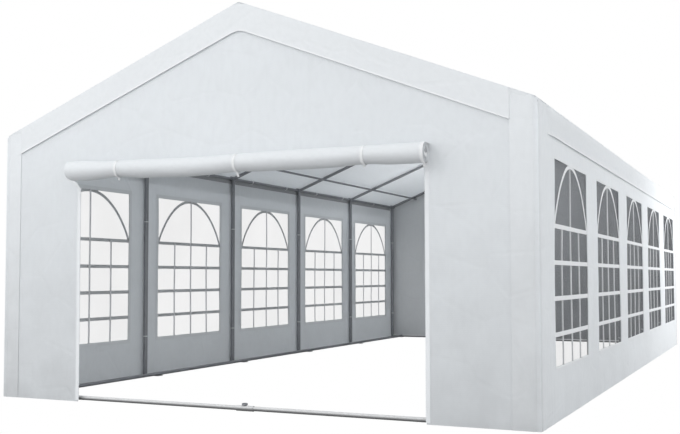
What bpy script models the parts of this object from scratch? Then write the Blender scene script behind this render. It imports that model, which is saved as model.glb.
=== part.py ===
"""Marquee tent with a steel tube frame and a fabric cover, in metres, +Z up.

The doorway faces -Y and the ridge runs along Y. The origin is in the middle of the
footprint, on the ground. Every piece is an object of its own, with its own material.
"""

from math import atan2, cos, pi, sin, tau

import bmesh
import bpy
from mathutils import Matrix, Vector

# Clearance between pieces that touch
GAP = 0.0003

# The cover: outer sizes
WIDTH = 5.02
LENGTH = 10.329
EAVE_HEIGHT = 2.43
RIDGE_HEIGHT = 3.434
WALL_SHEET = 0.008
ROOF_SHEET = 0.008
VALANCE_SHEET = 0.006
VALANCE_DROP = 0.225

# The doorway and the fabric door rolled up above it
DOOR_WIDTH = 3.27
DOOR_HEIGHT = 2.03
ROLL_RADIUS = 0.0825
ROLL_HEIGHT = 2.053
ROLL_LEFT_END = -1.735
ROLL_RIGHT_END = 1.69

# The windows: five to a side, one in each bay
WINDOW_COUNT = 5
WINDOW_PITCH = 2.0
WINDOW_WIDTH = 1.42
WINDOW_BOTTOM = 0.416
WINDOW_TOP = 2.035
WINDOW_MIDDLE = 0.172
PANE_SHEET = 0.003
PANE_LAP = 0.03

# The frame: tube and connector radii
POST_RADIUS = 0.025
RAFTER_RADIUS = 0.021
RAIL_RADIUS = 0.019
PURLIN_RADIUS = 0.015
HUB_RADIUS = 0.032
HUB_LENGTH = 0.11
COUPLING_RADIUS = 0.0235
COUPLING_LENGTH = 0.16
COUPLING_OFFSET = 0.04
TUBE_SIDES = 24

# The frame: foot plates and where the rails run
FOOT_LENGTH = 0.24
FOOT_WIDTH = 0.10
FOOT_SHEET = 0.006
GROUND_RAIL_X = 2.28
PURLIN_X = 2.01
INNER_ARCHES = (-2.828, -0.828, 1.172, 3.172)

SHARP_ANGLE = pi / 6
MERGE_DISTANCE = 0.00001

# Colours as red, green, blue, with roughness and metallic value
FABRIC = ((0.80, 0.82, 0.83), 0.55, 0.0)
CLEAR_SHEET = ((0.85, 0.88, 0.90), 0.15, 0.0)
STEEL = ((0.55, 0.57, 0.58), 0.40, 0.9)

# Sizes that follow from those above
HALF_WIDTH = WIDTH / 2
SLOPE = atan2(RIDGE_HEIGHT - EAVE_HEIGHT, HALF_WIDTH)
RISE = (RIDGE_HEIGHT - EAVE_HEIGHT) / HALF_WIDTH
ROOF_DEPTH = ROOF_SHEET / cos(SLOPE)
DROP_GAP = GAP / cos(SLOPE)
ROLL_REACH = 2 * ROLL_RADIUS - VALANCE_SHEET
FRONT = ROLL_REACH - (LENGTH + ROLL_REACH) / 2
BACK = FRONT + LENGTH
FRONT_WALL_OUT = FRONT + VALANCE_SHEET + GAP
FRONT_WALL_IN = FRONT_WALL_OUT + WALL_SHEET
BACK_WALL_OUT = BACK - VALANCE_SHEET - GAP
BACK_WALL_IN = BACK_WALL_OUT - WALL_SHEET
SIDE_WALL_OUT = HALF_WIDTH - VALANCE_SHEET - GAP
SIDE_WALL_IN = SIDE_WALL_OUT - WALL_SHEET
POST_X = SIDE_WALL_IN - GAP - HUB_RADIUS
EAVE_RAIL_Z = EAVE_HEIGHT + RISE * (HALF_WIDTH - POST_X) - ROOF_DEPTH - (HUB_RADIUS + GAP) / cos(SLOPE)
RIDGE_RAIL_Z = EAVE_RAIL_Z + RISE * POST_X
ARCHES = (
    FRONT_WALL_IN + GAP + HUB_LENGTH / 2,
    *INNER_ARCHES,
    BACK_WALL_IN - GAP - HUB_LENGTH / 2,
)
GROUND_RAIL_Z = FOOT_SHEET + GAP + RAIL_RADIUS
PURLIN_DROP = (RAFTER_RADIUS + GAP + PURLIN_RADIUS) / cos(SLOPE)

SIDES = (("left", -1), ("right", 1))


def roof_underside(x):
    """Height of the roof sheet's lower face, x metres from the ridge line."""
    return RIDGE_HEIGHT - RISE * abs(x) - ROOF_DEPTH


def make_material(name, look):
    """A plain surface with a colour, a roughness and a metallic value."""
    colour, roughness, metallic = look
    material = bpy.data.materials.new(name)
    material.use_nodes = True
    shader = material.node_tree.nodes["Principled BSDF"]
    shader.inputs["Base Color"].default_value = (*colour, 1.0)
    shader.inputs["Roughness"].default_value = roughness
    shader.inputs["Metallic"].default_value = metallic
    return material


def shade_by_angle(bm):
    """Smooth faces, with the edges of caps and corners kept sharp."""
    for face in bm.faces:
        face.smooth = True
    for edge in bm.edges:
        edge.smooth = edge.calc_face_angle(0.0) < SHARP_ANGLE


def make_object(name, bm, look=None):
    """Close a bmesh into a named object. Without a look it is a cutting tool."""
    bmesh.ops.recalc_face_normals(bm, faces=bm.faces)
    shade_by_angle(bm)
    mesh = bpy.data.meshes.new(name)
    bm.to_mesh(mesh)
    bm.free()
    obj = bpy.data.objects.new(name, mesh)
    bpy.context.scene.collection.objects.link(obj)
    if look is None:
        obj.hide_render = True
        obj.display_type = "WIRE"
    else:
        mesh.materials.append(make_material(name, look))
    return obj


def tube(start, end, stations):
    """Rings of (distance along, radius) about the line from start to end, closed at both ends."""
    bm = bmesh.new()
    points = [(stations[0][0], 0.0), *stations, (stations[-1][0], 0.0)]
    verts = [bm.verts.new((radius, 0.0, distance)) for distance, radius in points]
    edges = [bm.edges.new(pair) for pair in zip(verts, verts[1:])]
    bmesh.ops.spin(
        bm,
        geom=verts + edges,
        cent=(0, 0, 0),
        axis=(0, 0, 1),
        angle=tau,
        steps=TUBE_SIDES,
        use_merge=True,
    )
    bmesh.ops.remove_doubles(bm, verts=bm.verts, dist=MERGE_DISTANCE)
    direction = (Vector(end) - Vector(start)).normalized()
    turn = direction.to_track_quat("Z", "Y").to_matrix().to_4x4()
    bmesh.ops.transform(bm, matrix=Matrix.Translation(start) @ turn, verts=bm.verts)
    return bm


def straight_tube(start, end, radius):
    """A tube of one radius between two points."""
    length = (Vector(end) - Vector(start)).length
    return tube(start, end, [(0.0, radius), (length, radius)])


def sheet(outline, low, high):
    """A flat sheet: an outline in X and Z, from y = low to y = high."""
    bm = bmesh.new()
    face = bm.faces.new([bm.verts.new((x, low, z)) for x, z in outline])
    grown = bmesh.ops.extrude_face_region(bm, geom=[face])
    moved = [item for item in grown["geom"] if isinstance(item, bmesh.types.BMVert)]
    bmesh.ops.translate(bm, verts=moved, vec=(0, high - low, 0))
    return bm


def rectangle(left, right, bottom, top):
    """The outline of an upright rectangle."""
    return [(left, bottom), (right, bottom), (right, top), (left, top)]


def boxes(spans):
    """Separate boxes, each given as its low and high corners."""
    bm = bmesh.new()
    for low, high in spans:
        size = [b - a for a, b in zip(low, high)]
        middle = [(a + b) / 2 for a, b in zip(low, high)]
        place = Matrix.Translation(middle) @ Matrix.Diagonal((*size, 1.0))
        bmesh.ops.create_cube(bm, size=1.0, matrix=place)
    return bm


def shape_with(obj, tool, operation):
    """Cut a tool out of an object, or join the tool to it."""
    modifier = obj.modifiers.new(tool.name, "BOOLEAN")
    modifier.operation = operation
    modifier.solver = "EXACT"
    modifier.object = tool


def settle(obj):
    """The object's mesh with its modifiers carried out."""
    bpy.context.view_layer.update()
    evaluated = obj.evaluated_get(bpy.context.evaluated_depsgraph_get())
    mesh = bpy.data.meshes.new_from_object(evaluated)
    bm = bmesh.new()
    bm.from_mesh(mesh)
    shade_by_angle(bm)
    bm.to_mesh(mesh)
    bm.free()
    return mesh


def place_copies(mesh, stem, look, arches):
    """The same piece at each arch on both sides. The left ones are turned half round."""
    for side, sign in SIDES:
        for number, y in enumerate(arches, start=1):
            name = f"{stem}_{side}_{number}"
            copy = mesh.copy()
            copy.materials.clear()
            copy.materials.append(make_material(name, look))
            obj = bpy.data.objects.new(name, copy)
            bpy.context.scene.collection.objects.link(obj)
            obj.location = (0.0, y, 0.0)
            obj.rotation_euler = (0.0, 0.0, 0.0 if sign > 0 else pi)


def remove(*objects):
    """Take helper objects out of the scene."""
    for obj in objects:
        bpy.data.objects.remove(obj, do_unlink=True)


def build_rails():
    """Eave and ridge rails, each one tube with a wider connector at every arch."""
    start_y = ARCHES[0] - HUB_LENGTH / 2
    end_y = ARCHES[-1] + HUB_LENGTH / 2
    stations = []
    for y in ARCHES:
        before = y - HUB_LENGTH / 2 - start_y
        after = y + HUB_LENGTH / 2 - start_y
        stations += [(before, RAIL_RADIUS), (before, HUB_RADIUS), (after, HUB_RADIUS), (after, RAIL_RADIUS)]
    stations = stations[1:-1]
    runs = [(f"eave_rail_{side}", sign * POST_X, EAVE_RAIL_Z) for side, sign in SIDES]
    runs.append(("ridge_rail", 0.0, RIDGE_RAIL_Z))
    for name, x, z in runs:
        make_object(name, tube((x, start_y, z), (x, end_y, z), stations), STEEL)


def build_arches():
    """Posts with foot plates, and rafters whose ends fit round the connectors."""
    reach = HUB_LENGTH
    eave = make_object(
        "eave_cutter",
        straight_tube((POST_X, -reach, EAVE_RAIL_Z), (POST_X, reach, EAVE_RAIL_Z), HUB_RADIUS + GAP),
    )
    ridge = make_object(
        "ridge_cutter",
        straight_tube((0, -reach, RIDGE_RAIL_Z), (0, reach, RIDGE_RAIL_Z), HUB_RADIUS + GAP),
    )
    foot_out = SIDE_WALL_IN - GAP
    plate = make_object(
        "foot_plate_tool",
        boxes([((foot_out - FOOT_LENGTH, -FOOT_WIDTH / 2, 0), (foot_out, FOOT_WIDTH / 2, FOOT_SHEET))]),
    )
    post = make_object(
        "post_tool",
        straight_tube((POST_X, 0, FOOT_SHEET / 2), (POST_X, 0, EAVE_RAIL_Z), POST_RADIUS),
    )
    shape_with(post, plate, "UNION")
    shape_with(post, eave, "DIFFERENCE")
    place_copies(settle(post), "post", STEEL, ARCHES)
    rafter = make_object(
        "rafter_tool",
        straight_tube((POST_X, 0, EAVE_RAIL_Z), (0, 0, RIDGE_RAIL_Z), RAFTER_RADIUS),
    )
    shape_with(rafter, eave, "DIFFERENCE")
    shape_with(rafter, ridge, "DIFFERENCE")
    place_copies(settle(rafter), "rafter", STEEL, ARCHES)
    remove(eave, ridge, plate, post, rafter)


def build_purlins():
    """One roof purlin on each slope, carried below the rafters."""
    z = EAVE_RAIL_Z + RISE * (POST_X - PURLIN_X) - PURLIN_DROP
    low = ARCHES[0] - HUB_LENGTH / 2
    high = ARCHES[-1] + HUB_LENGTH / 2
    for side, sign in SIDES:
        x = sign * PURLIN_X
        bm = straight_tube((x, low, z), (x, high, z), PURLIN_RADIUS)
        make_object(f"roof_purlin_{side}", bm, STEEL)


def build_ground_rails():
    """The sills at both ends and the rails along both sides, lying on the foot plates."""
    z = GROUND_RAIL_Z
    for name, y, coupled in (("sill_front", ARCHES[0], True), ("sill_back", ARCHES[-1], False)):
        stations = [(0.0, RAIL_RADIUS), (2 * POST_X, RAIL_RADIUS)]
        if coupled:
            low = POST_X + COUPLING_OFFSET - COUPLING_LENGTH / 2
            high = low + COUPLING_LENGTH
            stations[1:1] = [(low, RAIL_RADIUS), (low, COUPLING_RADIUS), (high, COUPLING_RADIUS), (high, RAIL_RADIUS)]
        sill = make_object(name, tube((-POST_X, y, z), (POST_X, y, z), stations), STEEL)
        cutters = []
        for side, sign in SIDES:
            x = sign * POST_X
            bm = straight_tube((x, y, -z), (x, y, 3 * z), POST_RADIUS + GAP)
            cutters.append(make_object(f"{name}_{side}_cutter", bm))
        for cutter in cutters:
            shape_with(sill, cutter, "DIFFERENCE")
        sill.data = settle(sill)
        sill.modifiers.clear()
        remove(*cutters)
    reach = GROUND_RAIL_X + POST_RADIUS
    cutters = [
        make_object(f"sill_{number}_cutter", straight_tube((-reach, y, z), (reach, y, z), RAIL_RADIUS + GAP))
        for number, y in enumerate((ARCHES[0], ARCHES[-1]))
    ]
    for side, sign in SIDES:
        x = sign * GROUND_RAIL_X
        bm = straight_tube((x, ARCHES[0], z), (x, ARCHES[-1], z), RAIL_RADIUS)
        rail = make_object(f"ground_rail_{side}", bm, STEEL)
        for cutter in cutters:
            shape_with(rail, cutter, "DIFFERENCE")
        rail.data = settle(rail)
        rail.modifiers.clear()
    remove(*cutters)


def build_side_walls():
    """The long walls with their window holes, and the clear sheet behind the holes."""
    top = EAVE_HEIGHT - ROOF_DEPTH - DROP_GAP
    low_y = FRONT_WALL_IN + GAP
    high_y = BACK_WALL_IN - GAP
    first = WINDOW_MIDDLE - WINDOW_PITCH * (WINDOW_COUNT - 1) / 2
    middles = [first + WINDOW_PITCH * number for number in range(WINDOW_COUNT)]
    half = WINDOW_WIDTH / 2
    holes = make_object(
        "window_cutter",
        boxes(
            ((-WIDTH, middle - half, WINDOW_BOTTOM), (WIDTH, middle + half, WINDOW_TOP))
            for middle in middles
        ),
    )
    for side, sign in SIDES:
        near, far = sorted((sign * SIDE_WALL_IN, sign * SIDE_WALL_OUT))
        wall = make_object(f"side_wall_{side}", boxes([((near, low_y, 0), (far, high_y, top))]), FABRIC)
        shape_with(wall, holes, "DIFFERENCE")
        wall.data = settle(wall)
        wall.modifiers.clear()
        near, far = sorted((sign * (SIDE_WALL_IN - GAP - PANE_SHEET), sign * (SIDE_WALL_IN - GAP)))
        low = (near, middles[0] - half - PANE_LAP, WINDOW_BOTTOM - PANE_LAP)
        high = (far, middles[-1] + half + PANE_LAP, WINDOW_TOP + PANE_LAP)
        make_object(f"window_sheet_{side}", boxes([(low, high)]), CLEAR_SHEET)
    remove(holes)


def gable_outline(bottom):
    """The end wall's outline from a given height up to the roof sheet."""
    shoulder = roof_underside(SIDE_WALL_OUT) - DROP_GAP
    peak = roof_underside(0.0) - DROP_GAP
    return [
        (-SIDE_WALL_OUT, bottom),
        (SIDE_WALL_OUT, bottom),
        (SIDE_WALL_OUT, shoulder),
        (0.0, peak),
        (-SIDE_WALL_OUT, shoulder),
    ]


def build_end_walls():
    """The front wall beside and above the doorway, and the back wall."""
    for side, sign in SIDES:
        left, right = sorted((sign * DOOR_WIDTH / 2, sign * SIDE_WALL_OUT))
        outline = rectangle(left, right, 0.0, DOOR_HEIGHT - GAP)
        make_object(f"front_wall_{side}", sheet(outline, FRONT_WALL_OUT, FRONT_WALL_IN), FABRIC)
    make_object("front_gable", sheet(gable_outline(DOOR_HEIGHT), FRONT_WALL_OUT, FRONT_WALL_IN), FABRIC)
    make_object("back_wall", sheet(gable_outline(0.0), BACK_WALL_IN, BACK_WALL_OUT), FABRIC)


def build_roof():
    """The two slopes, and the valances that hang from all four edges."""
    for side, sign in SIDES:
        ridge_x = sign * GAP / 2
        eave_x = sign * HALF_WIDTH
        outline = [
            (eave_x, EAVE_HEIGHT - ROOF_DEPTH),
            (eave_x, EAVE_HEIGHT),
            (ridge_x, RIDGE_HEIGHT - RISE * GAP / 2),
            (ridge_x, RIDGE_HEIGHT - RISE * GAP / 2 - ROOF_DEPTH),
        ]
        make_object(f"roof_{side}", sheet(outline, FRONT, BACK), FABRIC)
        top = roof_underside(HALF_WIDTH) - DROP_GAP
        left, right = sorted((sign * (HALF_WIDTH - VALANCE_SHEET), eave_x))
        outline = rectangle(left, right, EAVE_HEIGHT - VALANCE_DROP, top)
        low_y = FRONT + VALANCE_SHEET + GAP
        high_y = BACK - VALANCE_SHEET - GAP
        make_object(f"eave_valance_{side}", sheet(outline, low_y, high_y), FABRIC)
        for end, low_y in (("front", FRONT), ("back", BACK - VALANCE_SHEET)):
            outline = [
                (eave_x, EAVE_HEIGHT - VALANCE_DROP),
                (eave_x, roof_underside(eave_x) - DROP_GAP),
                (ridge_x, roof_underside(ridge_x) - DROP_GAP),
                (ridge_x, RIDGE_HEIGHT - VALANCE_DROP - RISE * GAP / 2),
            ]
            bm = sheet(outline, low_y, low_y + VALANCE_SHEET)
            make_object(f"gable_valance_{end}_{side}", bm, FABRIC)


def build_door_roll():
    """The fabric door, rolled up against the wall above the doorway."""
    y = FRONT_WALL_OUT - GAP - ROLL_RADIUS
    bm = straight_tube((ROLL_LEFT_END, y, ROLL_HEIGHT), (ROLL_RIGHT_END, y, ROLL_HEIGHT), ROLL_RADIUS)
    make_object("door_roll", bm, FABRIC)


def main():
    for obj in list(bpy.data.objects):
        bpy.data.objects.remove(obj, do_unlink=True)
    build_rails()
    build_arches()
    build_purlins()
    build_ground_rails()
    build_side_walls()
    build_end_walls()
    build_roof()
    build_door_roll()


main()
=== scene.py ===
"""Looks for the marquee tent: fabric, clear windows, tube frame, light and camera.

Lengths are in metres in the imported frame: the doorway faces -Y, the ridge runs along Y.
"""

from math import ceil, cos, pi, radians, sin, sqrt, tau  # noqa: E402

import bpy  # noqa: E402
import numpy as np  # noqa: E402
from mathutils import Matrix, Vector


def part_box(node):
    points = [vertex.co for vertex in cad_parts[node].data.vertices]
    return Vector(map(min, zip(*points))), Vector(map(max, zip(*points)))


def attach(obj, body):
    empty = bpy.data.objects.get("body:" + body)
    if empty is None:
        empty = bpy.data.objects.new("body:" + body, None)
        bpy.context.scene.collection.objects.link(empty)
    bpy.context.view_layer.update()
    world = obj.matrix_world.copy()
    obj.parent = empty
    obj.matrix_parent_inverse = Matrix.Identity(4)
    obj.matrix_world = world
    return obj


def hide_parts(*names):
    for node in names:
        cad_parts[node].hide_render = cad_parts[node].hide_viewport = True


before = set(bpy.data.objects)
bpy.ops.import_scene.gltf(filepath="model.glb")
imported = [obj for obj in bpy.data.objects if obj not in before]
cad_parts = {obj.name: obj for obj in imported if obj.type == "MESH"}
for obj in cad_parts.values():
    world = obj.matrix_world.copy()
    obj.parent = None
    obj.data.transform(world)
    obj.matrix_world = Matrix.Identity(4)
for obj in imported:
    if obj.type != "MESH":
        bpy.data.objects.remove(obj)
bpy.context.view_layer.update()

# The photograph's frame, and the camera solved from it
PHOTO_WIDTH = 680
PHOTO_HEIGHT = 434
CAMERA_PLACE = (4.076, -12.337, 1.117)
CAMERA_YAW = 25.513
CAMERA_PITCH = 3.093
CAMERA_FOCAL_PIXELS = 998.2
CAMERA_AXIS_PIXEL = (304.3, 222.5)
SENSOR = 36.0

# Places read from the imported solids
side_low, side_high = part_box("side_wall_right")
WALL_X = (side_low.x + side_high.x) / 2
front_low, front_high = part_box("front_gable")
FRONT_Y = (front_low.y + front_high.y) / 2
back_low, back_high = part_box("back_wall")
BACK_Y = (back_low.y + back_high.y) / 2
DOOR_TOP = front_low.z
DOOR_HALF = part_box("front_wall_right")[0].x
roof_low, roof_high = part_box("roof_right")
EAVE_X = roof_high.x
ROOF_FRONT, ROOF_BACK = roof_low.y, roof_high.y
ROOF_DEPTH = 0.0086
EAVE_Z = roof_low.z + ROOF_DEPTH / 2
RIDGE_Z = roof_high.z - ROOF_DEPTH / 2
RISE = (RIDGE_Z - EAVE_Z) / EAVE_X
VALANCE_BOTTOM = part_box("eave_valance_right")[0].z
VALANCE_DROP = 0.228
ARCH_YS = [sum(c.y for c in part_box(f"post_right_{n}")) / 2 for n in range(1, 7)]
roll_low, roll_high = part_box("door_roll")
PANE_X = sum(c.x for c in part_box("window_sheet_right")) / 2
PURLIN_X = sum(c.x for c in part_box("roof_purlin_right")) / 2
rail_low, rail_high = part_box("eave_rail_right")
sill_low, sill_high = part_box("sill_front")

# The cloth and its edges
CLOTH = 0.003
SKIN = 0.0015
STRIP_EDGE = {-1: 2.325, 1: 2.287}
CORNER_ROUND = 0.055
CORNER_BEHIND = 0.31
STRIP_STEP = 0.0045
TUCK = 0.0085
HEM = 0.028
BINDING = 0.0115
BORDER = 0.014
WINDOW_COUNT = 5
WINDOW_PITCH = 2.0
WINDOW_WIDTH = 1.42
WINDOW_BOTTOM = 0.416
WINDOW_TOP = 2.035
WINDOW_MIDDLE = 0.172
PANE_LAP = 0.03
BAR_HEIGHTS = (1.51, 1.225, 0.945, 0.665)
BAR_WIDTH = 0.036
GATHER_FROM = 1.9
GATHER_HEIGHT = 0.12
GATHER = 0.155
GATHER_REACH = 0.35
UPRIGHT_WIDTH = 0.022
UPRIGHT_DEPTH = 0.01
UPRIGHT_OFFSET = 0.367
WINDOW_YS = [
    WINDOW_MIDDLE + WINDOW_PITCH * (n - (WINDOW_COUNT - 1) / 2) for n in range(WINDOW_COUNT)
]
POST_RADIUS = 0.025
POST_X = (rail_low.x + rail_high.x) / 2

WHITE = (0.905, 0.925, 0.94)


def main():
    camera()
    floor()
    lights()
    looks = materials()
    roof = roof_cover(looks)
    gable_valances(looks)
    for side in (-1, 1):
        side_cover(side, looks)
    front_cover(looks)
    back_cover(looks)
    door_roll(looks)
    steelwork(looks)
    fittings(looks)


# Camera, floor and light


def camera():
    """The camera where the photograph was taken from, with the crop's small shift."""
    data = bpy.data.cameras.new("camera")
    data.sensor_width = SENSOR
    data.lens = CAMERA_FOCAL_PIXELS / PHOTO_WIDTH * SENSOR
    data.shift_x = (PHOTO_WIDTH / 2 - CAMERA_AXIS_PIXEL[0]) / PHOTO_WIDTH
    data.shift_y = (CAMERA_AXIS_PIXEL[1] - PHOTO_HEIGHT / 2) / PHOTO_WIDTH
    data.clip_end = 200.0
    obj = bpy.data.objects.new("camera", data)
    obj.location = CAMERA_PLACE
    obj.rotation_euler = (radians(90 + CAMERA_PITCH), 0.0, radians(CAMERA_YAW))
    bpy.context.scene.collection.objects.link(obj)
    bpy.context.scene.camera = obj


def seen_and_lit(tree, seen, lit, out):
    """What the camera sees straight on, and what lights the tent, as two shaders."""
    path = tree.nodes.new("ShaderNodeLightPath")
    mix = tree.nodes.new("ShaderNodeMixShader")
    tree.links.new(path.outputs["Is Camera Ray"], mix.inputs[0])
    tree.links.new(lit.outputs[0], mix.inputs[1])
    tree.links.new(seen.outputs[0], mix.inputs[2])
    tree.links.new(mix.outputs[0], out.inputs["Surface"])


def floor():
    """A pale studio floor that shows as white as the background does."""
    bpy.ops.mesh.primitive_plane_add(size=400.0, location=(0, 0, -0.001))
    obj = bpy.context.object
    obj.name = "floor"
    material = bpy.data.materials.new("floor")
    material.use_nodes = True
    tree = material.node_tree
    shader = tree.nodes["Principled BSDF"]
    shader.inputs["Base Color"].default_value = (0.6, 0.6, 0.6, 1)
    shader.inputs["Roughness"].default_value = 0.8
    shine = tree.nodes.new("ShaderNodeEmission")
    shine.inputs["Strength"].default_value = 1.0
    seen_and_lit(tree, shine, shader, tree.nodes["Material Output"])
    obj.data.materials.append(material)


def lights():
    world = bpy.data.worlds.new("world")
    world.use_nodes = True
    tree = world.node_tree
    lit = tree.nodes["Background"]
    lit.inputs["Color"].default_value = (0.97, 0.985, 1.0, 1)
    lit.inputs["Strength"].default_value = 1.17
    seen = tree.nodes.new("ShaderNodeBackground")
    seen.inputs["Color"].default_value = (1, 1, 1, 1)
    seen_and_lit(tree, seen, lit, tree.nodes["World Output"])
    bpy.context.scene.world = world
    bpy.context.scene.view_settings.view_transform = "Standard"
    area_light("key", (-7.0, -14.0, 8.5), (0.0, -4.0, 1.8), 7.0, 280.0)
    fill = area_light("fill", (5.5, 4.3, 3.4), (2.5, 4.5, 1.5), 1.6, 98.0)
    fill.visible_glossy = False
    bounce = area_light("bounce", (0.3, 3.0, 0.03), (0.3, 3.0, 3.0), 2.0, 33.0)
    bounce.data.spread = radians(110)


def area_light(name, place, target, size, power):
    data = bpy.data.lights.new(name, "AREA")
    data.shape = "DISK"
    data.size = size
    data.energy = power
    obj = bpy.data.objects.new(name, data)
    obj.location = place
    aim = np.subtract(target, place)
    obj.rotation_euler = Vector(aim).to_track_quat("-Z", "Y").to_euler()
    bpy.context.scene.collection.objects.link(obj)
    return obj


# Materials


class Look:
    """A material's nodes, added one at a time with their inputs by name."""

    def __init__(self, name):
        self.material = bpy.data.materials.new(name)
        self.material.use_nodes = True
        self.tree = self.material.node_tree
        self.shader = self.tree.nodes["Principled BSDF"]
        self.out = self.tree.nodes["Material Output"]
        self.places = self.tree.nodes.new("ShaderNodeTexCoord")

    def add(self, kind, inputs=None, **settings):
        node = self.tree.nodes.new("ShaderNode" + kind)
        for key, value in settings.items():
            setattr(node, key, value)
        self.fill(node, inputs or {})
        return node

    def fill(self, node, inputs):
        for key, value in inputs.items():
            if isinstance(value, bpy.types.NodeSocket):
                self.tree.links.new(value, node.inputs[key])
            else:
                node.inputs[key].default_value = value

    def noise(self, place, scale, detail=2.0, rough=0.5):
        inputs = {"Vector": place, "Scale": scale, "Detail": detail, "Roughness": rough}
        return self.add("TexNoise", inputs).outputs["Fac"]

    def wave(self, place, period, direction):
        """Bands with one crest each period, in metres along X, Y or Z."""
        inputs = {"Vector": place, "Scale": tau / 20 / period}
        return self.add("TexWave", inputs, bands_direction=direction).outputs["Fac"]

    def math(self, how, a, b, third=0.0):
        return self.add("Math", {0: a, 1: b, 2: third}, operation=how).outputs[0]

    def ramp(self, value, low, high, to_low=0.0, to_high=1.0):
        inputs = {"Value": value, 1: low, 2: high, 3: to_low, 4: to_high}
        return self.add("MapRange", inputs, interpolation_type="SMOOTHSTEP").outputs[0]

    def blend(self, share, a, b):
        mix = self.add("Mix", data_type="RGBA")
        self.fill(mix, {0: share, 6: colour(a), 7: colour(b)})
        return mix.outputs[2]

    def bump(self, height, depth, normal=None):
        inputs = {"Height": height, "Distance": depth, "Strength": 1.0}
        if normal is not None:
            inputs["Normal"] = normal
        return self.add("Bump", inputs).outputs[0]


def colour(value):
    return value if isinstance(value, bpy.types.NodeSocket) else (*value, 1.0)


def shade(tone, factor):
    return tuple(min(1.0, c * factor) for c in tone)


def fabric(name, tone, low_shade=0.12, through=0.3, weave=0.004, flap_through=None, front=None,
           inner_shade=None, below=None):
    """Coated woven sheet: fine tapes crossing, soft creases, cloudy tone and painted shade low down.

    through is the share of light that passes; below the eave it is flap_through. What
    faces the front takes its own shares of painted shade low down and of light that passes.
    Painted shade greys the face that looks to the front, by the two shares given for the left
    and the right edge. What looks down is greyed by the share below, as painted shade.
    """
    look = Look(name)
    uv, place = look.places.outputs["UV"], look.places.outputs["Object"]
    across, along = look.wave(uv, weave, "X"), look.wave(uv, weave, "Y")
    tapes = look.math("MAXIMUM", across, along)
    cloud = look.noise(place, 0.7, 4.0)
    speck = look.noise(uv, 22.0, 3.0)
    crumple = look.add(
        "TexVoronoi",
        {"Vector": place, "Scale": 2.6, "Randomness": 1.0},
        feature="DISTANCE_TO_EDGE",
    ).outputs["Distance"]
    crease = look.ramp(crumple, 0.0, 0.07)
    base = look.blend(cloud, shade(tone, 0.955), shade(tone, 1.035))
    base = look.blend(look.ramp(speck, 0.35, 0.75, 0.0, 0.35), base, shade(tone, 0.93))
    base = look.blend(look.ramp(tapes, 0.2, 1.0, 0.12, 0.0), base, shade(tone, 0.8))
    parts = look.add("SeparateXYZ", {0: place}).outputs
    height = parts["Z"]
    # Painted shade low down: the cloth greys towards the bottom, up to 2.2 m, in soft patches, and by its
    # own share on the part that lies on the front face.
    if front is not None:
        low_shade = look.ramp(parts["Y"], FRONT_Y + 0.01, FRONT_Y + 0.06, front[0], low_shade)
        through = look.ramp(parts["Y"], FRONT_Y + 0.01, FRONT_Y + 0.06, front[1], through)
    low = look.add("MapRange", {"Value": height, 2: 2.2, 3: low_shade, 4: 0.0}).outputs[0]
    patchy_low_shade = look.math("MULTIPLY", low, look.ramp(look.noise(place, 3.0, 5.0), 0.3, 0.7, 0.8, 1.2))
    base = look.blend(patchy_low_shade, base, (0.34, 0.345, 0.35))
    # Painted shade on the face that looks to the front, greyer towards +X: the back wall's inner face.
    if inner_shade is not None:
        facing = look.add("SeparateXYZ", {0: look.places.outputs["Normal"]}).outputs["Y"]
        inner = look.ramp(facing, -0.3, 0.3, 1.0, 0.0)
        grey = look.math("MULTIPLY", inner, look.ramp(parts["X"], -2.4, 1.2, *inner_shade))
        base = look.blend(grey, base, (0.2, 0.205, 0.215))
    # Painted shade on what looks down, such as the roll's underside.
    if below is not None:
        down = look.add("SeparateXYZ", {0: look.places.outputs["Normal"]}).outputs["Z"]
        base = look.blend(look.ramp(down, -0.9, 0.3, below, 0.0), base, (0.34, 0.345, 0.35))
    normal = look.bump(tapes, 0.00012)
    normal = look.bump(crease, 0.0012, normal)
    normal = look.bump(look.noise(place, 5.0, 3.0), 0.004, normal)
    gloss = look.ramp(speck, 0.3, 0.7, 0.42, 0.56)
    look.fill(look.shader, {"Base Color": base, "Roughness": gloss, "Normal": normal})
    look.shader.inputs["Specular IOR Level"].default_value = 0.25
    glow = look.add("BsdfTranslucent", {"Color": base, "Normal": normal})
    if flap_through is not None:
        through = look.ramp(height, EAVE_Z - 0.03, EAVE_Z, flap_through, through)
    mix = look.add("MixShader", {0: through, 1: look.shader.outputs[0], 2: glow.outputs[0]})
    look.fill(look.out, {"Surface": mix.outputs[0]})
    return look.material


def clear_sheet():
    """Clear vinyl, faintly smoky: nearly all of what is behind shows, with painted shade where it is seen
    at a slant.
    """
    look = Look("clear_sheet")
    place = look.places.outputs["Object"]
    sag = look.noise(place, 1.6, 2.0)
    haze = look.noise(place, 0.9, 3.0)
    slant_shade = look.add("LayerWeight", {"Blend": 0.5}).outputs["Facing"]
    film = look.ramp(haze, 0.3, 0.7, 0.06, 0.085)
    # Painted shade: the sheet turns darker and less clear where it is seen at a slant.
    inputs = {
        "Base Color": look.blend(slant_shade, (0.24, 0.25, 0.265), (0.03, 0.03, 0.033)),
        "Roughness": look.ramp(sag, 0.3, 0.7, 0.12, 0.24),
        "Alpha": look.math("ADD", film, look.ramp(slant_shade, 0.6, 0.86, 0.0, 0.03)),
        "Normal": look.bump(sag, 0.006),
    }
    look.fill(look.shader, inputs)
    look.shader.inputs["Specular IOR Level"].default_value = 0.03
    return look.material


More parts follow.
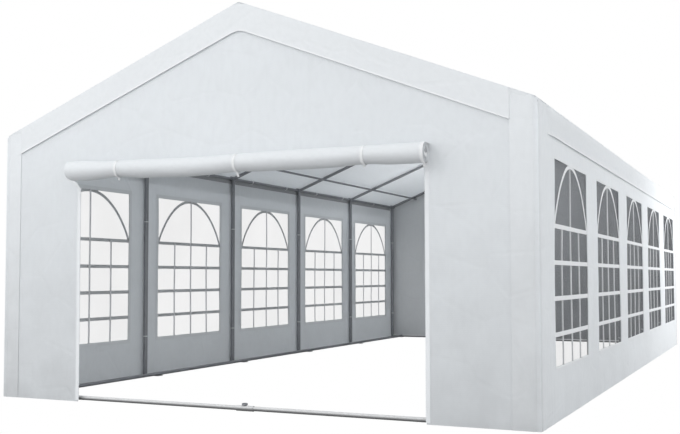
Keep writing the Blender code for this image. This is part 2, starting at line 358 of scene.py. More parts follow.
def strip_plastic(name, tone, rough=0.4):
    """Welded plastic strip, webbing or cord: fine ribs along it and slight soiling."""
    look = Look(name)
    place = look.places.outputs["Object"]
    ribs = look.wave(place, 0.0025, "DIAGONAL")
    soil = look.noise(place, 6.0, 3.0)
    base = look.blend(soil, shade(tone, 0.93), shade(tone, 1.03))
    base = look.blend(look.ramp(ribs, 0.0, 1.0, 0.14, 0.0), base, shade(tone, 0.75))
    normal = look.bump(ribs, 0.0002)
    look.fill(look.shader, {"Base Color": base, "Normal": normal})
    look.fill(look.shader, {"Roughness": look.ramp(soil, 0.3, 0.7, rough - 0.08, rough + 0.1)})
    return look.material


def galvanised(name, tone, metal=0.75, under=None):
    """Zinc-coated steel: soft spangle, cloudy dulling, and painted shade on what faces down when a shade
    colour is given.
    """
    look = Look(name)
    place = look.places.outputs["Object"]
    flakes = look.add("TexVoronoi", {"Vector": place, "Scale": 90.0}, feature="F1")
    spangle = look.add("SeparateColor", {0: flakes.outputs["Color"]}).outputs[0]
    dull = look.noise(place, 7.0, 5.0)
    fine = look.noise(place, 260.0, 2.0)
    base = look.blend(dull, shade(tone, 0.86), shade(tone, 1.1))
    base = look.blend(look.ramp(spangle, 0.0, 1.0, 0.0, 0.22), base, shade(tone, 1.3))
    # Painted shade: what faces down turns towards the given dark colour.
    if under is not None:
        up = look.add("SeparateXYZ", {0: look.places.outputs["Normal"]}).outputs["Z"]
        base = look.blend(look.ramp(up, -0.5, 0.85, 0.9, 0.0), base, under)
    rough = look.math("ADD", look.ramp(dull, 0.3, 0.7, 0.34, 0.5), look.ramp(fine, 0.2, 0.8, -0.04, 0.06))
    normal = look.bump(fine, 0.00015)
    look.fill(look.shader, {"Base Color": base, "Roughness": rough, "Normal": normal})
    look.shader.inputs["Metallic"].default_value = metal
    return look.material


def materials():
    return {
        # The cloth's painted shade: low down on the walls, on the back wall's inner face and on the roll's
        # underside.
        "roof": fabric("roof_fabric", WHITE, low_shade=0.0, through=0.43, flap_through=0.26),
        "valance": fabric("valance_fabric", shade(WHITE, 0.95), low_shade=0.0, through=0.13),
        "front": fabric("front_fabric", WHITE, low_shade=0.28),
        "side": fabric("side_fabric", WHITE, low_shade=0.12, through=0.26, front=(0.38, 0.2)),
        "back": fabric("back_fabric", WHITE, low_shade=0.12, through=0.08, inner_shade=(0.26, 0.8)),
        "roll": fabric("roll_fabric", WHITE, low_shade=0.0, through=0.24, below=0.34),
        "clear": clear_sheet(),
        "bar": strip_plastic("white_strip", (0.74, 0.75, 0.76)),
        "border": strip_plastic("border_strip", (0.82, 0.84, 0.85)),
        # A greyish tape: on the back zips it is the tape's own grey, on the flap hems its grey paints the
        # shade line under the hem.
        "binding_and_shade_line": strip_plastic("grey_binding_and_shade_line", (0.84, 0.85, 0.86), 0.55),
        "zip": strip_plastic("zip_tape", (0.80, 0.815, 0.83), 0.5),
        # Dark grey: painted shade in the roll's hollow end, and partly painted shade in the hem band under
        # the eave rails.
        "hem": strip_plastic("grey_hem_and_painted_shade", (0.40, 0.405, 0.42), 0.6),
        "tie": strip_plastic("white_webbing", (0.80, 0.805, 0.81), 0.55),
        # Two tones of one zinc finish: the frame's is darkened as painted shade for the tubes inside the
        # tent; the sill's is lighter, with painted shade underneath.
        "frame": galvanised("shade_darkened_frame_steel", (0.28, 0.285, 0.30)),
        "sill": galvanised("sill_steel", (0.7, 0.7, 0.7), 0.1, (0.09, 0.09, 0.09)),
        "bolt": galvanised("bolt_steel", (0.62, 0.62, 0.63), 0.9),
    }


# Mesh tools


def stations(low, high, step, marks=()):
    """Grid places from low to high, at most step apart, with one at each mark."""
    fixed = sorted({round(float(m), 5) for m in (low, *marks, high) if low <= m <= high})
    places = [fixed[0]]
    for a, b in zip(fixed, fixed[1:]):
        count = max(1, ceil((b - a) / step))
        places += [a + (b - a) * k / count for k in range(1, count + 1)]
    return np.array(places)


def smooth(t):
    t = np.clip(t, 0.0, 1.0)
    return t * t * (3 - 2 * t)


def ripple(u, v, seed, longest, shortest, count=9):
    """Long soft waves in many directions, about -1 to 1, the same each run."""
    rng = np.random.default_rng(seed)
    total = 0.0
    for _ in range(count):
        turn, phase = rng.uniform(0, tau, 2)
        size = rng.uniform(shortest, longest)
        total = total + np.sin(tau * (u * cos(turn) + v * sin(turn)) / size + phase)
    return total / sqrt(count)


def fold(distance, width):
    """A soft ridge, 1 on the line and 0 beyond width from it."""
    return smooth(1 - np.abs(distance) / width)


def rounded(corners, radii, step=0.004):
    """A line through the corners, turned by an arc at each inner one, as close points."""
    points = [np.array(corners[0], float)]
    for a, b, c, radius in zip(corners, corners[1:], corners[2:], radii):
        a, b, c = (np.array(p, float) for p in (a, b, c))
        into, out = (b - a) / np.linalg.norm(b - a), (c - b) / np.linalg.norm(c - b)
        turn = np.arccos(np.clip(into @ out, -1, 1))
        reach = radius * np.tan(turn / 2)
        start, middle = b - into * reach, (out - into) / np.linalg.norm(out - into)
        centre = b + middle * radius / np.cos(turn / 2)
        arm = start - centre
        for k in range(max(2, ceil(radius * turn / step)) + 1):
            angle = turn * k / max(2, ceil(radius * turn / step))
            points.append(centre + arm * cos(angle) + into * radius * sin(angle))
    points.append(np.array(corners[-1], float))
    return np.array(points)


class Line:
    """A flat line with its length along it: places and outward directions by distance."""

    def __init__(self, points):
        self.points = points
        steps = np.linalg.norm(np.diff(points, axis=0), axis=1)
        self.along = np.concatenate([[0.0], np.cumsum(steps)])
        self.length = self.along[-1]
        tangent = np.gradient(points, self.along, axis=0)
        tangent /= np.linalg.norm(tangent, axis=1)[:, None]
        self.out = np.stack([tangent[:, 1], -tangent[:, 0]], 1)

    def at(self, s):
        first = np.interp(s, self.along, self.points[:, 0])
        second = np.interp(s, self.along, self.points[:, 1])
        return first, second

    def outward(self, s):
        first = np.interp(s, self.along, self.out[:, 0])
        second = np.interp(s, self.along, self.out[:, 1])
        size = np.hypot(first, second)
        return first / size, second / size


def finish_piece(name, points, faces, uvs, material, thickness=0.0):
    """A mesh object that rides on the tent, smooth but for its hard edges."""
    mesh = bpy.data.meshes.new(name)
    mesh.from_pydata(points, [], faces)
    mesh.update()
    if uvs is not None:
        order = np.zeros(len(mesh.loops), int)
        mesh.loops.foreach_get("vertex_index", order)
        layer = mesh.uv_layers.new(name="UVMap")
        layer.data.foreach_set("uv", np.asarray(uvs, np.float32)[order].ravel())
    obj = bpy.data.objects.new(name, mesh)
    bpy.context.scene.collection.objects.link(obj)
    if thickness:
        solid = obj.modifiers.new("thickness", "SOLIDIFY")
        solid.thickness, solid.offset = thickness, 0.0
        graph = bpy.context.evaluated_depsgraph_get()
        obj.data = bpy.data.meshes.new_from_object(obj.evaluated_get(graph))
        obj.modifiers.clear()
        bpy.data.meshes.remove(mesh)
        obj.data.name = name
    obj.data.materials.clear()
    obj.data.materials.append(material)
    obj.data.shade_smooth()
    obj.data.set_sharp_from_angle(angle=radians(35))
    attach(obj, "root")
    return obj


def cloth(name, us, vs, place, material, keep=None, thickness=CLOTH):
    """A sheet on a grid: place(u, v) gives x, y, z, and keep(u, v) says which cells stay."""
    u, v = np.meshgrid(us, vs, indexing="ij")
    x, y, z = np.broadcast_arrays(*place(u, v))
    points = np.stack([x, y, z], -1).reshape(-1, 3)
    index = np.arange(u.size).reshape(u.shape)
    corners = [index[:-1, :-1], index[1:, :-1], index[1:, 1:], index[:-1, 1:]]
    quads = np.stack(corners, -1)
    if keep is not None:
        middle_u = (u[:-1, :-1] + u[1:, 1:]) / 2
        middle_v = (v[:-1, :-1] + v[1:, 1:]) / 2
        quads = quads[keep(middle_u, middle_v)]
    quads = quads.reshape(-1, 4)
    used, packed = np.unique(quads, return_inverse=True)
    uvs = np.stack([u, v], -1).reshape(-1, 2)[used]
    faces = packed.reshape(-1, 4).tolist()
    return finish_piece(name, points[used], faces, uvs, material, thickness)


class Shape:
    """Closed solids gathered for one piece, each a section carried along a line."""

    def __init__(self):
        self.points, self.faces, self.uvs, self.count = [], [], [], 0

    def sweep(self, line, section, side, closed=False, scales=None):
        line = np.asarray(line, float)
        count, width = len(line), len(section)
        if closed:
            tangent = np.roll(line, -1, axis=0) - np.roll(line, 1, axis=0)
        else:
            tangent = np.gradient(line, axis=0)
        tangent /= np.linalg.norm(tangent, axis=1)[:, None]
        side = np.broadcast_to(np.asarray(side, float), line.shape)
        side = side - tangent * (side * tangent).sum(1)[:, None]
        side = side / np.linalg.norm(side, axis=1)[:, None]
        up = np.cross(tangent, side)
        scales = np.ones(count) if scales is None else np.asarray(scales, float)
        section = np.asarray(section, float)
        flat = section[None] * scales[:, None, None]
        rings = line[:, None] + flat[..., :1] * side[:, None] + flat[..., 1:] * up[:, None]
        steps = np.linalg.norm(np.diff(line, axis=0), axis=1)
        far = np.concatenate([[0.0], np.cumsum(steps)])
        round_it = np.linspace(0, 1, width, endpoint=False) * np.ptp(section, axis=0).sum() * 2
        self.uvs.append(np.stack(np.meshgrid(far, round_it, indexing="ij"), -1).reshape(-1, 2))
        first = self.count
        spans = count if closed else count - 1
        for i in range(spans):
            for j in range(width):
                k, m = (i + 1) % count, (j + 1) % width
                self.faces.append([first + i * width + j, first + i * width + m,
                                   first + k * width + m, first + k * width + j])
        if not closed:
            self.faces.append([first + j for j in reversed(range(width))])
            self.faces.append([first + (count - 1) * width + j for j in range(width)])
        self.points.append(rings.reshape(-1, 3))
        self.count += count * width

    def strip(self, line, side, width, depth, closed=False):
        """A flat band with its edges eased."""
        w, d = width / 2, depth / 2
        e = min(w, d) * 0.45
        section = [(-w, -d + e), (-w + e, -d), (w - e, -d), (w, -d + e),
                   (w, d - e), (w - e, d), (-w + e, d), (-w, d - e)]
        self.sweep(line, section, side, closed)

    def tube(self, line, radius, side, sides=12, closed=False, scales=None):
        turns = [tau * k / sides for k in range(sides)]
        self.sweep(line, [(radius * cos(t), radius * sin(t)) for t in turns], side, closed, scales)

    def ring(self, centre, axis, radius, width, depth, sides=28):
        """A band lying round a tube."""
        axis = np.asarray(axis, float) / np.linalg.norm(axis)
        first = np.cross(axis, (0.31, 0.57, 0.76))
        first /= np.linalg.norm(first)
        second = np.cross(axis, first)
        turns = np.linspace(0, tau, sides, endpoint=False)[:, None]
        line = np.asarray(centre) + radius * (np.cos(turns) * first + np.sin(turns) * second)
        self.strip(line, axis, width, depth, closed=True)

    def bolt(self, place, axis, size=0.012):
        """A hexagon head on a washer, its shank end hidden in what it holds."""
        axis = np.asarray(axis, float) / np.linalg.norm(axis)
        side = np.cross(axis, (0.36, 0.48, 0.8))
        at = lambda *heights: [np.asarray(place) + axis * h for h in heights]  # noqa: E731
        self.tube(at(-0.004, 0.0005, 0.0015), size * 1.05, side, 20, scales=(1, 1, 0.94))
        self.tube(at(0.0, 0.0055, 0.007), size * 0.66, side, 6, scales=(1, 1, 0.86))

    def make(self, name, material, slot):
        points = np.concatenate(self.points)
        return finish_piece(name, points, self.faces, np.concatenate(self.uvs), material)


def under_roof(x):
    """Height of the roof sheet's middle above x."""
    return RIDGE_Z - RISE * np.abs(x)


FLANK = EAVE_X - 0.003
EAVE_ROUND = 0.05


def roof_line():
    """The roof's section from the right hem over the ridge to the left hem."""
    half = [(-FLANK, VALANCE_BOTTOM), (-FLANK, float(under_roof(FLANK)))]
    corners = [*half, (0, RIDGE_Z), (FLANK, half[1][1]), (FLANK, VALANCE_BOTTOM)]
    return Line(rounded(corners, (EAVE_ROUND, 0.05, EAVE_ROUND))[::-1])


def roof_skin(x):
    """Height of the roof sheet above x, its rounded eaves counted."""
    points = roof_line().points
    points = points[(points[:, 0] >= 0) & (points[:, 1] > EAVE_Z - 0.045)][::-1]
    return np.interp(np.abs(x), points[:, 0], points[:, 1])


# Roof


def roof_cover(looks):
    """One sheet from the hem of one eave valance over the ridge to the other."""
    section = roof_line()
    drop = float(under_roof(FLANK)) - VALANCE_BOTTOM
    slope = section.length / 2 - drop
    low, high = drop, section.length - drop
    gap = 0.0015
    marks = [low - 0.02, low, low + 0.02, high - 0.02, high, high + 0.02]
    marks += [HEM, HEM + gap, section.length - HEM, section.length - HEM - gap, section.length / 2]
    us = stations(0, section.length, 0.055, marks)
    seams = [y for y in ARCH_YS[1:-1]]
    ends = [ROOF_FRONT + HEM, ROOF_BACK - HEM, ROOF_FRONT + CORNER_BEHIND, ROOF_BACK - CORNER_BEHIND]
    marks = [y + d for y in seams for d in (-0.022, -0.02, 0, 0.02, 0.022)] + ends
    vs = stations(ROOF_FRONT, ROOF_BACK, 0.06, marks)

    def place(u, v):
        x, z = section.at(u)
        nx, nz = section.outward(u)
        across = np.abs(u - section.length / 2)
        bay = np.min([np.abs(v - y) for y in ARCH_YS], axis=0)
        hollow = np.sin(np.pi * np.clip(bay / (WINDOW_PITCH / 2), 0, 1) / 2) ** 2
        to_purlin = PURLIN_X * sqrt(1 + RISE**2)
        mid = np.sin(pi * np.clip(across / to_purlin, 0, 1)) ** 2
        out = -0.008 * hollow * mid
        out += 0.0012 * mid * ripple(u, v, 5, 0.9, 0.35)
        for y in seams:
            out += 0.0008 * (np.abs(v - y) < 0.021) * (across < slope)
        flap = np.clip((across - slope) / drop, 0, 1)
        free = smooth((np.minimum(v - ROOF_FRONT, ROOF_BACK - v) - CORNER_BEHIND) / 0.16)
        stand = 0.0034 - 0.0014 * smooth((v - ROOF_FRONT) / 7)
        out += flap * free * stand * (1 + 0.5 * ripple(v, 0 * v, 8, 1.1, 0.45))
        out -= smooth(flap / 0.2) * (1 - free) * TUCK
        out += 0.001 * (section.length / 2 - across < HEM)
        beyond = np.clip((np.abs(x) - FLANK) / CORNER_ROUND + 1, 0, 1)
        pull = CORNER_ROUND * (1 - np.sqrt(1 - beyond**2))
        near, far = smooth(1 - (v - ROOF_FRONT) / 0.15), smooth(1 - (ROOF_BACK - v) / 0.15)
        return x + nx * out, v + pull * (near - far), z + nz * out

    def keep(u, v):
        across = np.abs(u - section.length / 2)
        near_end = np.minimum(v - ROOF_FRONT, ROOF_BACK - v) < CORNER_BEHIND
        return ~((across > slope) & near_end)

    cover = cloth("roof_cover", us, vs, place, looks["roof"], keep)
    nodes = ["roof_left", "roof_right", "eave_valance_left", "eave_valance_right"]
    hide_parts(*nodes)
    # Along each eave flap's hem a binding whose grey paints the shade line under the hem.
    for side, name in ((-1, "left"), (1, "right")):
        shape = Shape()
        ys = stations(ROOF_FRONT + CORNER_BEHIND, ROOF_BACK - CORNER_BEHIND, 0.1)
        u = np.full_like(ys, 0.0 if side > 0 else section.length)
        line = np.stack(place(u, ys), -1) + (side * 0.0006, 0, -0.003)
        shape.strip(line, (0, 0, 1), BINDING, CLOTH + 0.0015)
        shape.make(f"eave_shade_line_binding_{name}", looks["binding_and_shade_line"], "white_fabric")
    return cover


def gable_valances(looks):
    """The flaps that hang from the roof's two ends, their own ends run under the corner strips."""
    half = EAVE_X - 0.05
    for outward, edge, end in ((-1, ROOF_FRONT, "front"), (1, ROOF_BACK, "back")):
        marks = [s * (STRIP_EDGE[s] + d) for s in (-1, 1) for d in (-0.012, 0, 0.004, 0.008)]
        xs = stations(-half, half, 0.05, [-0.02, 0, 0.02, *marks])
        drops = stations(0.0015, VALANCE_DROP, 0.04, [VALANCE_DROP - HEM, VALANCE_DROP - HEM - 0.002])

        def place(x, d, outward=outward, edge=edge):
            share = d / VALANCE_DROP
            inner = np.where(x < 0, STRIP_EDGE[-1], STRIP_EDGE[1])
            lift = smooth((inner - np.abs(x)) / 0.3)
            out = share * lift * (0.0018 + 0.001 * ripple(x, 0 * x, 21 + outward, 0.9, 0.4))
            out += 0.001 * (d > VALANCE_DROP - HEM)
            corner = smooth((np.abs(x) - inner) / 0.008) * smooth(share / 0.15)
            corner = np.maximum(corner, smooth((np.abs(x) - half + 0.12) / 0.12))
            ridge = 0.012 * np.exp(-((x / 0.03) ** 2))
            return x, edge + outward * (0.001 + out - TUCK * corner), under_roof(x) - ridge - d

        flap = cloth(f"gable_valance_{end}", xs, drops, place, looks["valance"])
        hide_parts(f"gable_valance_{end}_left", f"gable_valance_{end}_right")
        # Along the flap's hem a binding whose grey paints the shade line under the hem.
        shape = Shape()
        edge_xs = xs[(xs > -STRIP_EDGE[-1] - 0.001) & (xs < STRIP_EDGE[1] + 0.001)]
        line = np.stack(place(edge_xs, np.full_like(edge_xs, VALANCE_DROP)), -1)
        line += (0, outward * 0.0006, -0.003)
        shape.strip(line, (0, 0, 1), BINDING, CLOTH + 0.0015)
        binding_and_shade_line = shape.make(f"gable_shade_line_binding_{end}", looks["binding_and_shade_line"], "white_fabric")


# Side walls and windows


def side_bulge(side, y, z):
    """How far a side wall leans out of its plane: soft waves, none at the corners."""
    free = smooth((np.minimum(y - FRONT_Y, BACK_Y - y) - 0.12) / 0.5) * smooth((2.35 - z) / 0.4)
    free = free * (0.25 + 0.75 * smooth(z / 0.4))
    wide = 0.0035 * ripple(y, z, 31 + side, 2.6, 1.0)
    fine = 0.0006 * ripple(y, z, 37 + side, 0.5, 0.25)
    return free * (wide + fine)


def side_cover(side, looks):
    """One side's wall with its window openings, wrapped round both corners."""
    name = "right" if side > 0 else "left"
    inner = STRIP_EDGE[side]
    front, back = FRONT_Y - STRIP_STEP, BACK_Y + STRIP_STEP
    corners = [(inner, front), (WALL_X, front), (WALL_X, back), (inner, back)]
    plan = Line(rounded(corners, (CORNER_ROUND, CORNER_ROUND)))
    turn = WALL_X - inner - CORNER_ROUND + CORNER_ROUND * pi / 2
    start = turn - (front + CORNER_ROUND)
    marks = [turn - CORNER_ROUND * pi / 4, turn, plan.length - turn]
    marks += [0.001, 0.02, plan.length - 0.02]
    for middle in WINDOW_YS:
        marks += [start + middle - WINDOW_WIDTH / 2, start + middle + WINDOW_WIDTH / 2]
    marks += [turn - CORNER_ROUND * pi / 2 * k / 8 for k in range(9)]
    marks += [plan.length - turn + CORNER_ROUND * pi / 2 * k / 8 for k in range(9)]
    us = stations(0, plan.length, 0.055, marks)
    top = float(roof_skin(WALL_X)) - 0.003
    vs = stations(0.0, 1.0, 0.055 / top, [WINDOW_BOTTOM / top, WINDOW_TOP / top, 0.012, 0.05 / top])

    def place(u, v):
        x, y = plan.at(u)
        nx, ny = plan.outward(u)
        rake = np.where(v > WINDOW_TOP / top, (v - WINDOW_TOP / top) / (1 - WINDOW_TOP / top), 0)
        z = v * top + rake * (roof_skin(x) - 0.003 - top)
        out = side_bulge(side, y, z)
        return side * (x + nx * out), y + ny * out, z

    def keep(u, v):
        y = u - start
        z = v * top
        in_window = np.zeros(u.shape, bool)
        for middle in WINDOW_YS:
            in_window |= np.abs(y - middle) < WINDOW_WIDTH / 2
        return ~(in_window & (z > WINDOW_BOTTOM) & (z < WINDOW_TOP))

    wall = cloth(f"side_cover_{name}", us, vs, place, looks["side"], keep)
    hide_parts(f"side_wall_{name}")
    borders = [window_border(side, n, y, looks) for n, y in enumerate(WINDOW_YS, 1)]
    flat = (plan.length, float(under_roof(inner)))
    for n, middle in enumerate(WINDOW_YS, 1):
        window(side, name, n, middle, looks)


def on_side(side, line, offset):
    """Points (y, z) of a side wall's face, offset outwards from its middle."""
    y, z = np.asarray(line, float).T
    x = WALL_X + side_bulge(side, y, z) + offset
    return np.stack([side * x, y, z], -1)


def straight(a, b, step=0.06):
    count = max(2, ceil(np.hypot(b[0] - a[0], b[1] - a[1]) / step) + 1)
    return np.linspace(a, b, count)


def window_border(side, n, middle, looks):
    """The welded band round a window's edge."""
    name = "right" if side > 0 else "left"
    band, proud = BORDER, CLOTH / 2 + 0.0005
    left, right = middle - WINDOW_WIDTH / 2, middle + WINDOW_WIDTH / 2
    shape = Shape()
    for z in (WINDOW_BOTTOM - band / 2, WINDOW_TOP + band / 2):
        ends = (left - band, z), (right + band, z)
        shape.strip(on_side(side, straight(*ends), proud), (0, 0, 1), band, 0.0016)
    for y in (left - band / 2, right + band / 2):
        ends = (y, WINDOW_BOTTOM), (y, WINDOW_TOP)
        shape.strip(on_side(side, straight(*ends), proud), (0, 1, 0), band, 0.0014)
    inside = PANE_X - WALL_X - 0.0012
    lap = PANE_LAP + 0.012
    for z in (WINDOW_BOTTOM - lap / 2, WINDOW_TOP + lap / 2):
        ends = (left - lap, z), (right + lap, z)
        shape.strip(on_side(side, straight(*ends), inside), (0, 0, 1), lap, 0.0012)
    for y in (left - lap / 2, right + lap / 2):
        ends = (y, WINDOW_BOTTOM), (y, WINDOW_TOP)
        shape.strip(on_side(side, straight(*ends), inside), (0, 1, 0), lap, 0.001)
    return shape.make(f"window_border_{name}_{n}", looks["border"], "white_fabric")


def window(side, name, n, middle, looks):
    """A clear pane with its white bars and arch on the outside."""
    low, high = WINDOW_BOTTOM - PANE_LAP, WINDOW_TOP + PANE_LAP
    half = WINDOW_WIDTH / 2 + PANE_LAP
    ys = stations(middle - half, middle + half, 0.09)
    zs = stations(low, high, 0.09)
    offset = PANE_X - WALL_X + 0.0008

    def place(y, z):
        slack = smooth((WINDOW_WIDTH / 2 - np.abs(y - middle)) / 0.3)
        soft = 0.001 * slack * ripple(y, z, 50 + 7 * n + side, 0.7, 0.3)
        return side * (WALL_X + offset + side_bulge(side, y, z) + soft), y, z

    pane = cloth(f"window_pane_{name}_{n}", ys, zs, place, looks["clear"], None, SKIN)
    shape = Shape()
    bars = -0.001
    inside = offset - 0.001 - UPRIGHT_DEPTH / 2
    left, right = middle - WINDOW_WIDTH / 2 - 0.004, middle + WINDOW_WIDTH / 2 + 0.004
    for z in BAR_HEIGHTS:
        line = on_side(side, straight((left, z), (right, z)), bars)
        shape.strip(line, (0, 0, 1), BAR_WIDTH, 0.0024)
    for y, top in ((0.0, WINDOW_TOP), (-UPRIGHT_OFFSET, BAR_HEIGHTS[0]), (UPRIGHT_OFFSET, BAR_HEIGHTS[0])):
        ends = (middle + y, WINDOW_BOTTOM - 0.004), (middle + y, top + 0.004)
        shape.strip(on_side(side, straight(*ends), inside), (0, 1, 0), UPRIGHT_WIDTH, UPRIGHT_DEPTH)
    t = np.sin(np.linspace(-pi / 2, pi / 2, 61))
    arch = WINDOW_WIDTH / 2 - 0.01
    rise = (WINDOW_TOP - 0.004 - BAR_HEIGHTS[0]) * np.clip(1 - t**2, 0, 1) ** 0.8
    line = on_side(side, np.stack([middle + arch * t, BAR_HEIGHTS[0] + rise], -1), bars)
    tangent = np.gradient(line, axis=0)
    sideways = np.cross(tangent, (side, 0, 0))
    shape.strip(line, sideways, BAR_WIDTH * 0.92, 0.0022)
    strips = shape.make(f"window_bars_{name}_{n}", looks["bar"], "white_fabric")
    if n == 1:
        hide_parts(f"window_sheet_{name}")


# End walls


def gathered(x, z):
    """How far the doorway's upper left corner is drawn aside under the roll."""
    beside = -x - DOOR_HALF
    near = smooth(1 - beside / GATHER_REACH) * (beside > -0.002)
    rise = np.clip((z - GATHER_FROM) / GATHER_HEIGHT, 0, 1) ** 2
    return GATHER * near * rise * smooth((DOOR_TOP + 0.12 - z) / 0.1)


def end_wall(name, y0, outward, door, waves, looks, seed):
    """A gable wall up to the roof. With door, the doorway is open."""
    half = EAVE_X - 0.012
    marks = [-DOOR_HALF, DOOR_HALF, 0]
    marks += [s * (DOOR_HALF + d) for s in (-1, 1) for d in (0.002, 0.03, 0.032)]
    us = stations(-half, half, 0.05, marks)
    seam = DOOR_TOP + 0.13
    marks = (0.004, *np.linspace(GATHER_FROM, DOOR_TOP, 8), seam, seam + 0.002)
    vs = stations(0.0, 1.0, 0.05 / RIDGE_Z, [z / RIDGE_Z for z in marks])

    def height(x, v):
        z = v * RIDGE_Z
        share = (z - DOOR_TOP) / (RIDGE_Z - DOOR_TOP)
        upper = DOOR_TOP + share * (under_roof(x) - 0.007 - DOOR_TOP)
        return np.where(z > DOOR_TOP, upper, z)

    def place(u, v):
        z = height(u, v)
        free = smooth((STRIP_EDGE[1] - 0.02 - np.abs(u)) / 0.3)
        free = free * smooth((under_roof(u) - VALANCE_DROP + 0.02 - z) / 0.2)
        out = free * (0.0022 * ripple(u, z, seed, 1.8, 0.8) + 0.0006 * ripple(u, z, seed + 1, 0.5, 0.22))
        out = out + free * waves(u, z)
        return u - door * gathered(u, z), y0 + outward * out, z

    def keep(u, v):
        return ~((np.abs(u) < DOOR_HALF) & (v * RIDGE_Z < DOOR_TOP)) | (not door)

    wall = cloth(f"{name}_cover", us, vs, place, looks[name], keep)
    return wall, place, half


def front_cover(looks):
    """The front wall round the open doorway, with the zip halves on its edges."""

    def waves(x, z):
        right = smooth((x - 1.64) / 0.04)
        crease = 0.0035 * right * fold(z - 1.31 - 0.01 * np.sin(9 * x), 0.035)
        crease = crease - 0.0025 * right * fold(z - 0.93, 0.04)
        crease = crease + 0.003 * right * smooth((2.16 - z) / 0.012) * smooth((z - 1.9) / 0.2)
        left = smooth((-1.64 - x) / 0.04)
        crease = crease + 0.003 * left * (fold(z - 1.12, 0.035) - fold(z - 0.48, 0.04))
        gable = (z > DOOR_TOP + 0.2) * 0.0022
        crease = crease + gable * (fold(x + 0.9, 0.03) + fold(x - 0.62, 0.03) - fold(z - 2.62, 0.03))
        return crease

    wall, place, half = end_wall("front", FRONT_Y, -1, True, waves, looks, 61)
    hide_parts("front_wall_left", "front_wall_right", "front_gable")
    zips = []
    for side, name in ((-1, "left"), (1, "right")):
        shape = Shape()
        z = np.linspace(0.012, DOOR_TOP - 0.02, 40)
        x, y, _ = place(np.full_like(z, side * (DOOR_HALF - 0.001)), z / RIDGE_Z)
        line = np.stack([x, y, z], -1)
        shape.strip(line, (0, 1, 0), 0.006, 0.007)
        for k in range(int((DOOR_TOP - 0.05) / 0.012)):
            at = 0.018 + k * 0.012
            tooth = (float(np.interp(at, z, x)) - side * 0.004, float(np.interp(at, z, y)), at)
            ends = [np.add(tooth, (0, -0.0028, 0)), np.add(tooth, (0, 0.0028, 0))]
            shape.strip(ends, (0, 0, 1), 0.006, 0.005)
        tape = Shape()
        line = np.stack([x + side * 0.016, y - CLOTH / 2 - 0.0006, z], -1)
        tape.strip(line, (1, 0, 0), 0.028, 0.0014)
        zips += [shape.make(f"front_zip_{name}", looks["zip"], "white_fabric"),
                 tape.make(f"front_zip_tape_{name}", looks["zip"], "white_fabric")]


def back_cover(looks):
    """The back wall, its door zipped shut under two storm flaps."""

    def waves(x, z):
        return 0.0014 * fold(x + 0.55, 0.03) * (z < 2.0) - 0.0012 * fold(z - 1.25, 0.03)

    wall, place, half = end_wall("back", BACK_Y, 1, False, waves, looks, 71)
    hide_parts("back_wall")
    extras = []
    for side, name in ((-1, "left"), (1, "right")):
        z = np.linspace(0.012, DOOR_TOP, 40)
        x = np.full_like(z, side * DOOR_HALF)
        y = place(x, z / RIDGE_Z)[1]
        flap = Shape()
        flap.strip(np.stack([x + side * 0.012, y + 0.0035, z], -1), (1, 0, 0), 0.07, 0.002)
        zipper = Shape()
        zipper.strip(np.stack([x - side * 0.03, y + 0.003, z], -1), (1, 0, 0), 0.012, 0.004)
        zipper.strip(np.stack([x - side * 0.03, y - 0.003, z], -1), (1, 0, 0), 0.012, 0.004)
        extras += [flap.make(f"back_flap_{name}", looks["border"], "white_fabric"),
                   zipper.make(f"back_zip_{name}", looks["binding_and_shade_line"], "white_fabric")]


# Rolled door


ROLL_PITCH = 0.0078
ROLL_CORE = 0.041


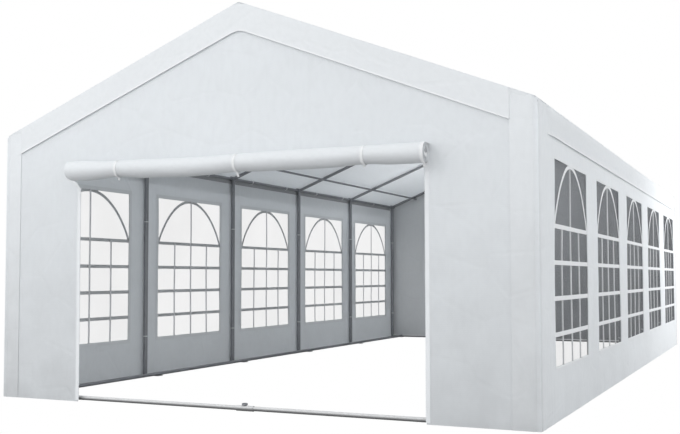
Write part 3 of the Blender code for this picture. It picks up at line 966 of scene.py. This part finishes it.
def door_roll(looks):
    """The door panel, sewn along the wall over the doorway, rolled up outwards and tied."""
    left, right = roll_low.x + 0.042, roll_high.x - 0.02
    centre_y = (roll_low.y + roll_high.y) / 2
    centre_z = (roll_low.z + roll_high.z) / 2
    radius = (roll_high.z - roll_low.z) / 2 - 0.001
    turns = (radius - ROLL_CORE) / ROLL_PITCH
    bridge = 3.0 / 40
    ties = (-1.15, 0.036, 1.17)

    def grip(x):
        pull = sum(0.11 * np.exp(-(((x - t) / 0.17) ** 2)) for t in ties)
        return 1.0 - pull - 0.16 * np.exp(-(x - left) / 0.03) - 0.05 * np.exp(-(right - x) / 0.02)

    def bulk(x, angle):
        """How thick the roll is there, as a share of its radius."""
        loose = 0.5 - 0.5 * np.sin(angle)
        soft = 0.02 * ripple(x, angle * 0.08, 81, 0.9, 0.3)
        soft = soft + 0.008 * ripple(x, angle * 0.15, 83, 0.22, 0.12)
        return grip(x) + 0.1 * smooth((-1.28 - x) / 0.25) + soft * loose + 0.01 * np.sin(angle + 2.2 * x)

    def middle(x):
        """The roll's middle: its top hangs level and its underside gives."""
        level = radius * (1 - grip(x)) * 0.8
        return (centre_z + level - 0.012 * np.exp(-(((x + 0.35) / 0.5) ** 2))
                + 0.006 * smooth((-1.28 - x) / 0.25))

    def place(u, v):
        """u along the roll; v in turns from the core out, then back to the wall."""
        wound = np.minimum(v, turns)
        angle = pi / 2 - tau * (wound - turns)
        r = (ROLL_CORE + ROLL_PITCH * wound) * bulk(u, angle)
        y, z = centre_y + r * np.cos(angle), middle(u) + r * np.sin(angle)
        share = np.clip((v - turns) / bridge, 0, 1)
        wall_y, wall_z = FRONT_Y - 0.001, roll_high.z - 0.004
        y = y + share * (wall_y - y)
        return u, y, z + (wall_z - z) * (0.25 * share + 0.75 * share**3)

    marks = [left + d for d in (0.008, 0.02, 0.04)] + [right - d for d in (0.01, 0.03)]
    xs = stations(left, right, 0.045, marks)
    vs = np.concatenate([np.linspace(0, turns, int(turns * 40)), turns + bridge * np.arange(1, 7) / 6])
    roll = cloth("door_roll_cloth", xs, vs, place, looks["roll"], None, 0.0042)
    straps, tails = Shape(), Shape()
    for t, reach in zip((*ties, right - 0.012), (0.02, 0.045, 0.015, 0.02)):
        x = np.array(t)
        line = []
        for k in range(36):
            angle = tau * k / 36
            r = (radius + 0.003) * float(bulk(x, np.array(angle)))
            line.append((t, centre_y + r * cos(angle), float(middle(x)) + r * sin(angle)))
        straps.strip(line, (1, 0, 0), 0.026, 0.0028, closed=True)
        r = (radius + 0.004) * float(bulk(x, np.array(-pi / 2)))
        line = []
        for k in range(9):
            angle = -pi / 2 - 0.9 + 0.9 * k / 4 if k < 5 else -pi / 2
            below = 0.0 if k < 5 else reach * (k - 4) / 4
            y = centre_y + (r + 0.003) * cos(angle) + below * 0.35
            line.append((
                t + 0.006 * sin(k * 0.7) + below * 0.25, y,
                float(middle(x)) + (r + 0.003) * sin(angle) - below * 0.8))
        tails.strip(line, (1, 0, 0), 0.02, 0.002)
    pieces = [straps.make("door_ties", looks["tie"], "white_fabric"),
              tails.make("door_tie_ends", looks["tie"], "white_fabric")]
    bar = Shape()
    ends = (left + 0.03, left + 0.04, right - 0.012, right - 0.003)
    line = [(x, centre_y, float(middle(np.array(x)))) for x in ends]
    bar.tube(line, 0.0355, (0, 0, 1), 24, scales=(0.8, 1, 1, 1.03))
    pieces.append(bar.make("door_roll_bar", looks["tie"], "white_fabric"))
    # A dark plug in the roll's open right end: painted shade for its hollow.
    hole = Shape()
    line = [np.add(line[-1], (d, 0, 0.022)) for d in (-0.01, 0.0032, 0.0038)]
    hole.tube(line, 0.025, (0, 0, 1), 24, scales=(1, 1, 0.9))
    pieces.append(hole.make("door_roll_hollow", looks["hem"], "white_fabric"))
    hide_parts("door_roll")


# Frame


def steelwork(looks):
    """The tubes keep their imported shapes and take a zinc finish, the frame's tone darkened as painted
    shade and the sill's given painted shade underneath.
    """
    for name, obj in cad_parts.items():
        if obj.hide_render:
            continue
        finish = looks["sill"] if name.startswith("sill") else looks["frame"]
        if not obj.material_slots:
            obj.data.materials.append(finish)
        for slot in obj.material_slots:
            slot.material = finish


def fittings(looks):
    """Bolts through the joints, and the elastic ties that hold the cloth to the tubes."""
    bolts = Shape()
    for y in ARCH_YS:
        for side in (-1, 1):
            for gap in (0.052, 0.12):
                bolts.bolt((side * (POST_X - gap), y, 0.006), (0, 0, 1), 0.011)
    bolts.make("frame_bolts", looks["bolt"], "galvanised_tube")
    knob = Shape()
    place = (0.035, (sill_low.y + sill_high.y) / 2, sill_high.z - 0.001)
    line = [np.add(place, (0, 0, h)) for h in (-0.003, 0.003, 0.004, 0.017, 0.02)]
    knob.tube(line, 0.025, (1, 0, 0), 18, scales=(0.6, 0.6, 1, 1, 0.84))
    knob.make("sill_knob", looks["frame"], "galvanised_tube")
    ties, hems = Shape(), Shape()
    for y in ARCH_YS:
        for side in (-1, 1):
            for z in (1.74, 0.44):
                ties.ring((side * POST_X, y, z), (0, 0, 1), POST_RADIUS + 0.002, 0.008, 0.004)
    rail_z = (rail_low.z + rail_high.z) / 2
    for y in (-3.9, -2.1, -1.48, -0.31, 0.73, 1.78, 2.81, 4.2):
        for side in (-1, 1):
            ties.ring((side * POST_X, y, rail_z), (0, 1, 0), 0.0235, 0.018, 0.004)
    # A grey hem band along each side wall's top under the eave rail; its grey is partly painted shade,
    # widening the rail's shaded band.
    for side in (-1, 1):
        ys = stations(ARCH_YS[0] + 0.05, ARCH_YS[-1] - 0.05, 0.2)
        line = [(side * (WALL_X - 0.006), y, rail_low.z - 0.004) for y in ys]
        hems.strip(line, (0, 0, 1), 0.05, 0.003)
    ties.make("cover_ties", looks["tie"], "white_fabric")
    hems.make("wall_hems", looks["hem"], "white_fabric")


main()
